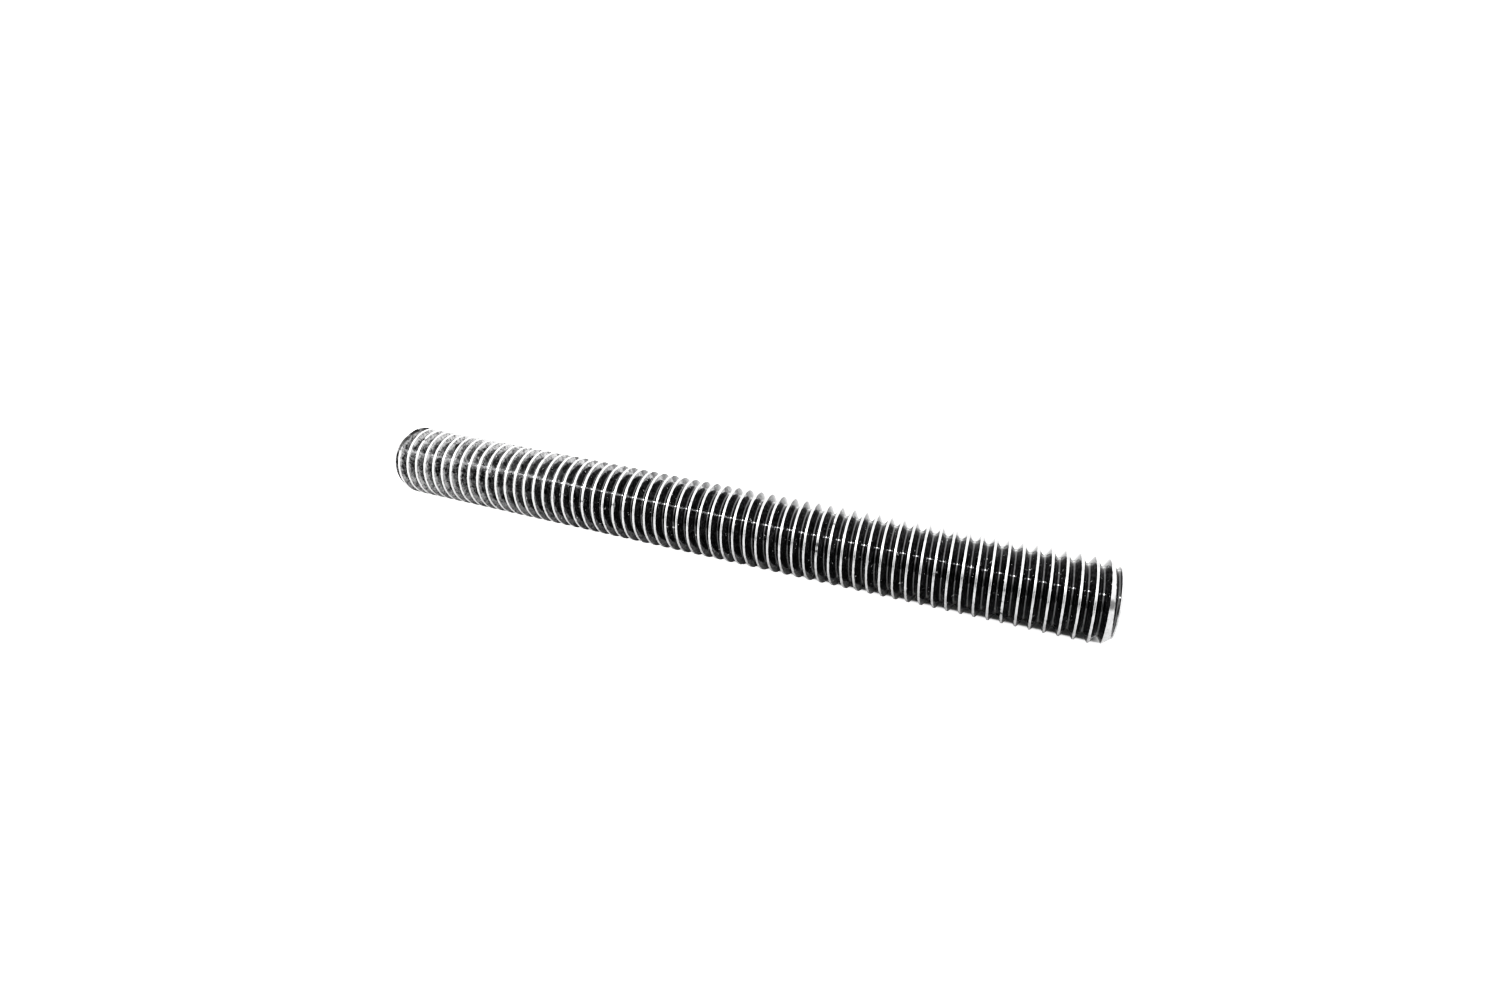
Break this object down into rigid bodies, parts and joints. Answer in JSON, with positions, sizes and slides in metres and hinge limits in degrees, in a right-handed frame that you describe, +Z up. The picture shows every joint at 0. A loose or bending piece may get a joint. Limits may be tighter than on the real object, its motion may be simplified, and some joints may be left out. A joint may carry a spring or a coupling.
{
  "type": "threaded rod",
  "caption": "Straight steel rod with a right-hand V thread over its whole length and a short lead-in cone at each end, for clamping, tie rod and stud use.",
  "frame": {"origin": "on the rod's axis, midway between the two end faces", "axes": "+X along the axis towards the right end, +Z up with the rod lying down, +Y away from the viewer"},
  "size_m": [0.08, 0.0078, 0.0078],
  "materials": {
    "steel": "bright rolled steel thread: burnished crests, darker flanks with handling marks"
  },
  "bodies": {
    "root": {"threaded_rod": "steel"}
  },
  "joints": []
}
